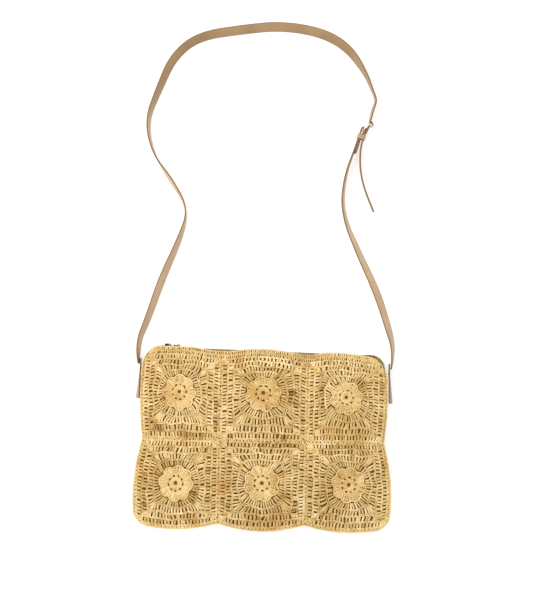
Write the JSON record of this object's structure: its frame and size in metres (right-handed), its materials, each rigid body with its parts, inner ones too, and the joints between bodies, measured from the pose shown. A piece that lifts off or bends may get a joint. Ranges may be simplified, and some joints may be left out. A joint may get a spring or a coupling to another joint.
{
  "type": "crossbody purse",
  "caption": "Flat crocheted crossbody purse of joined granny squares, with a top zip, a lined pouch and a narrow leather strap with a pin buckle.",
  "frame": {"origin": "on the table under the middle of the bag, which lies on its back", "axes": "+X to the right across the front, +Y towards the zip, +Z out of the front wall"},
  "size_m": [0.2644, 0.5199, 0.028],
  "materials": {
    "raffia": "crocheted natural raffia, straw coloured, matt with a slight sheen",
    "lining": "plain woven cotton, brown",
    "zip_tape": "woven khaki tape",
    "zip_teeth": "aged brass",
    "zip_slider": "black enamel, satin",
    "zip_pull": "polished nickel",
    "leather": "smooth tan vegetable-tanned leather, darker cut edges",
    "thread": "waxed brown thread",
    "buckle": "pale gold plate, polished"
  },
  "bodies": {
    "bag": {"front_square_top_left": "raffia", "front_square_top_middle": "raffia", "front_square_top_right": "raffia", "front_square_bottom_left": "raffia", "front_square_bottom_middle": "raffia", "front_square_bottom_right": "raffia", "back_square_top_left": "raffia", "back_square_top_middle": "raffia", "back_square_top_right": "raffia", "back_square_bottom_left": "raffia", "back_square_bottom_middle": "raffia", "back_square_bottom_right": "raffia", "front_joining_rows": "raffia", "back_joining_rows": "raffia", "edge_border": "raffia", "lining_front": "lining", "lining_back": "lining", "zip_end_left": "zip_tape", "zip_end_right": "zip_tape", "zip_end_teeth": "zip_teeth", "zip_stops": "zip_teeth", "long_strap_sewn_end": "leather", "short_strap_sewn_end": "leather", "long_strap_sewn_stitches": "thread", "short_strap_sewn_stitches": "thread"},
    "front_zip_half": {"zip_tape_front": "zip_tape", "zip_teeth_front": "zip_teeth"},
    "back_zip_half": {"zip_tape_back": "zip_tape", "zip_teeth_back": "zip_teeth"},
    "slider": {"zip_slider": "zip_slider"},
    "pull": {"zip_pull_tab": "zip_pull"},
    "strap": {"long_strap": "leather", "short_strap": "leather", "strap_fold": "leather", "fold_stitches": "thread"},
    "buckle": {"buckle_frame": "buckle"},
    "prong": {"buckle_prong": "buckle"},
    "keeper": {"strap_keeper": "leather"}
  },
  "joints": [
    {"name": "strap_swing", "type": "hinge", "parent": "bag", "child": "strap", "pos_m": [0, 0.077, 0.008], "axis": [1, 0, 0], "range_deg": [0, 150]},
    {"name": "front_zip_half_fold", "type": "hinge", "parent": "bag", "child": "front_zip_half", "pos_m": [0, 0.0888, 0.0135], "axis": [0.9998, -0.0192, 0], "range_deg": [0, 85]},
    {"name": "back_zip_half_fold", "type": "hinge", "parent": "bag", "child": "back_zip_half", "pos_m": [0, 0.0888, 0.0045], "axis": [-0.9998, 0.0192, 0], "range_deg": [0, 85]},
    {"name": "slider_travel", "type": "slide", "parent": "bag", "child": "slider", "axis": [0.9998, -0.0192, 0], "range_m": [0, 0.193]},
    {"name": "pull_flip", "type": "hinge", "parent": "slider", "child": "pull", "pos_m": [-0.09802, 0.09428, 0.009], "axis": [0, 0, 1], "range_deg": [0, 165]},
    {"name": "buckle_rock", "type": "hinge", "parent": "strap", "child": "buckle", "pos_m": [0.09918, 0.32309, 0.008], "axis": [0, 0, 1], "range_deg": [-4, 4]},
    {"name": "prong_lift", "type": "hinge", "parent": "buckle", "child": "prong", "pos_m": [0.09918, 0.32309, 0.008], "axis": [0, 0, -1], "range_deg": [0, 8]},
    {"name": "keeper_slide", "type": "slide", "parent": "strap", "child": "keeper", "axis": [0.3094, 0.9509, 0], "range_m": [-0.002, 0.004]}
  ]
}
